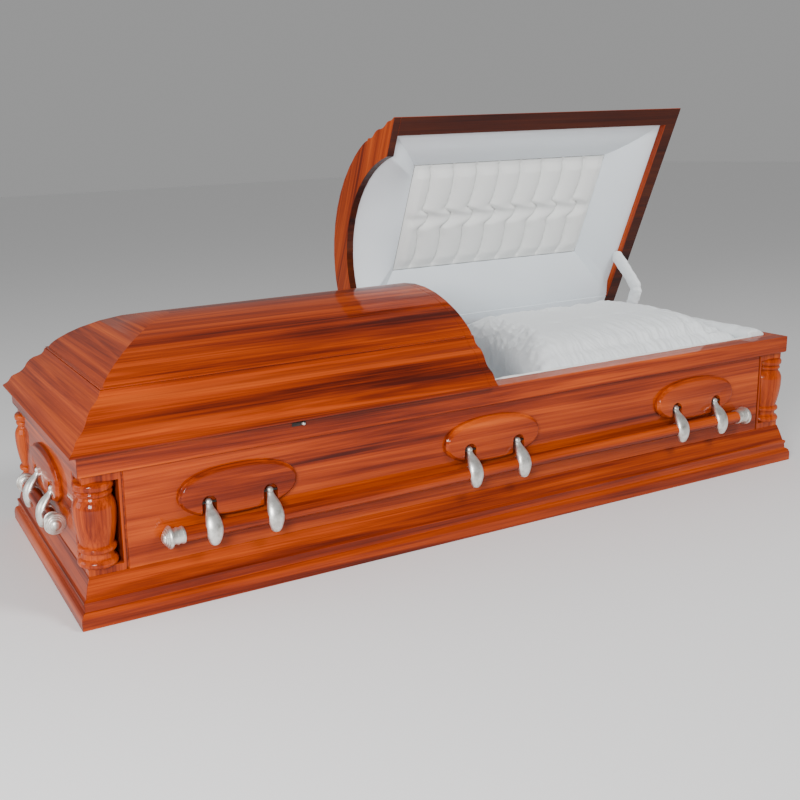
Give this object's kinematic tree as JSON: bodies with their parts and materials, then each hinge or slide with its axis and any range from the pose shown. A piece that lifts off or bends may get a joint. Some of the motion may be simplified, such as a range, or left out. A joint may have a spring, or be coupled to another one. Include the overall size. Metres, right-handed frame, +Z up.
{
  "type": "casket",
  "caption": "Lacquered wooden half-couch casket with two hinged domed lids, white padded lining, turned corner posts and swing-bar handles.",
  "frame": {"origin": "on the floor, under the middle of the base", "axes": "+Z up, +X along the casket towards its head end, -Y towards the front, where the lids open"},
  "size_m": [2.1704, 0.8384, 1.0324],
  "materials": {
    "lacquered_wood": "high gloss",
    "white_crepe": "soft matte",
    "satin_silver": "antique satin"
  },
  "bodies": {
    "casket": {"base_moulding_back": "lacquered_wood", "base_moulding_foot": "lacquered_wood", "base_moulding_front": "lacquered_wood", "base_moulding_head": "lacquered_wood", "bedding": "white_crepe", "bottom_board": "lacquered_wood", "corner_niche_foot_back": "lacquered_wood", "corner_niche_foot_front": "lacquered_wood", "corner_niche_head_back": "lacquered_wood", "corner_niche_head_front": "lacquered_wood", "corner_post_foot_back": "lacquered_wood", "corner_post_foot_front": "lacquered_wood", "corner_post_head_back": "lacquered_wood", "corner_post_head_front": "lacquered_wood", "end_panel_foot": "lacquered_wood", "end_panel_head": "lacquered_wood", "head_bolster": "white_crepe", "hinge_foot": "satin_silver", "hinge_head": "satin_silver", "ledge_back": "lacquered_wood", "ledge_foot": "lacquered_wood", "ledge_front": "lacquered_wood", "ledge_head": "lacquered_wood", "lid_catch": "satin_silver", "mattress": "white_crepe", "plaque_back_1": "lacquered_wood", "plaque_back_2": "lacquered_wood", "plaque_back_3": "lacquered_wood", "plaque_foot": "lacquered_wood", "plaque_front_1": "lacquered_wood", "plaque_front_2": "lacquered_wood", "plaque_front_3": "lacquered_wood", "plaque_head": "lacquered_wood", "side_lining": "white_crepe", "side_panel_back": "lacquered_wood", "side_panel_front": "lacquered_wood"},
    "handle_back": {"arm_pair_back_1": "satin_silver", "arm_pair_back_2": "satin_silver", "arm_pair_back_3": "satin_silver", "bar_back": "lacquered_wood"},
    "handle_foot": {"arm_pair_foot": "satin_silver", "bar_foot": "lacquered_wood"},
    "handle_front": {"arm_pair_front_1": "satin_silver", "arm_pair_front_2": "satin_silver", "arm_pair_front_3": "satin_silver", "bar_front": "lacquered_wood"},
    "handle_head": {"arm_pair_head": "satin_silver", "bar_head": "lacquered_wood"},
    "foot_lid": {"foot_lid_arch": "lacquered_wood", "foot_lid_crown": "lacquered_wood", "foot_lid_lining": "white_crepe", "foot_lid_rim": "lacquered_wood"},
    "head_lid": {"head_lid_arch": "lacquered_wood", "head_lid_crown": "lacquered_wood", "head_lid_lining": "white_crepe", "head_lid_rim": "lacquered_wood", "head_lid_tufting": "white_crepe"},
    "stay_lower": {"stay_lower": "satin_silver"},
    "stay_upper": {"stay_upper": "satin_silver"}
  },
  "joints": [
    {"name": "head_lid_hinge", "type": "hinge", "parent": "casket", "child": "head_lid", "pos_m": [0, 0.3497, 0.3655], "axis": [1, 0, 0], "range_deg": [0, 68.5]},
    {"name": "foot_lid_hinge", "type": "hinge", "parent": "casket", "child": "foot_lid", "pos_m": [0, 0.3497, 0.3655], "axis": [-1, 0, 0], "range_deg": [0, 68.5]},
    {"name": "handle_front_hinge", "type": "hinge", "parent": "casket", "child": "handle_front", "pos_m": [0, -0.344, 0.2205], "axis": [-1, 0, 0], "range_deg": [0, 70]},
    {"name": "handle_back_hinge", "type": "hinge", "parent": "casket", "child": "handle_back", "pos_m": [0, 0.344, 0.2205], "axis": [1, 0, 0], "range_deg": [0, 70]},
    {"name": "handle_foot_hinge", "type": "hinge", "parent": "casket", "child": "handle_foot", "pos_m": [-1.045, 0, 0.2205], "axis": [0, 1, 0], "range_deg": [0, 70]},
    {"name": "handle_head_hinge", "type": "hinge", "parent": "casket", "child": "handle_head", "pos_m": [1.045, 0, 0.2205], "axis": [0, -1, 0], "range_deg": [0, 70]},
    {"name": "stay_lower_hinge", "type": "hinge", "parent": "casket", "child": "stay_lower", "pos_m": [1.0093, 0.232, 0.352], "axis": [1, 0, 0], "range_deg": [0, 146]},
    {"name": "stay_upper_hinge", "type": "hinge", "parent": "head_lid", "child": "stay_upper", "pos_m": [1.002, 0.28914, 0.55198], "axis": [1, 0, 0], "range_deg": [-3, 0]}
  ],
  "couplings": [
    {"joint": "stay_lower_hinge", "follows": "head_lid_hinge", "ratio": 2.1244},
    {"joint": "stay_upper_hinge", "follows": "head_lid_hinge", "ratio": -0.031394}
  ]
}
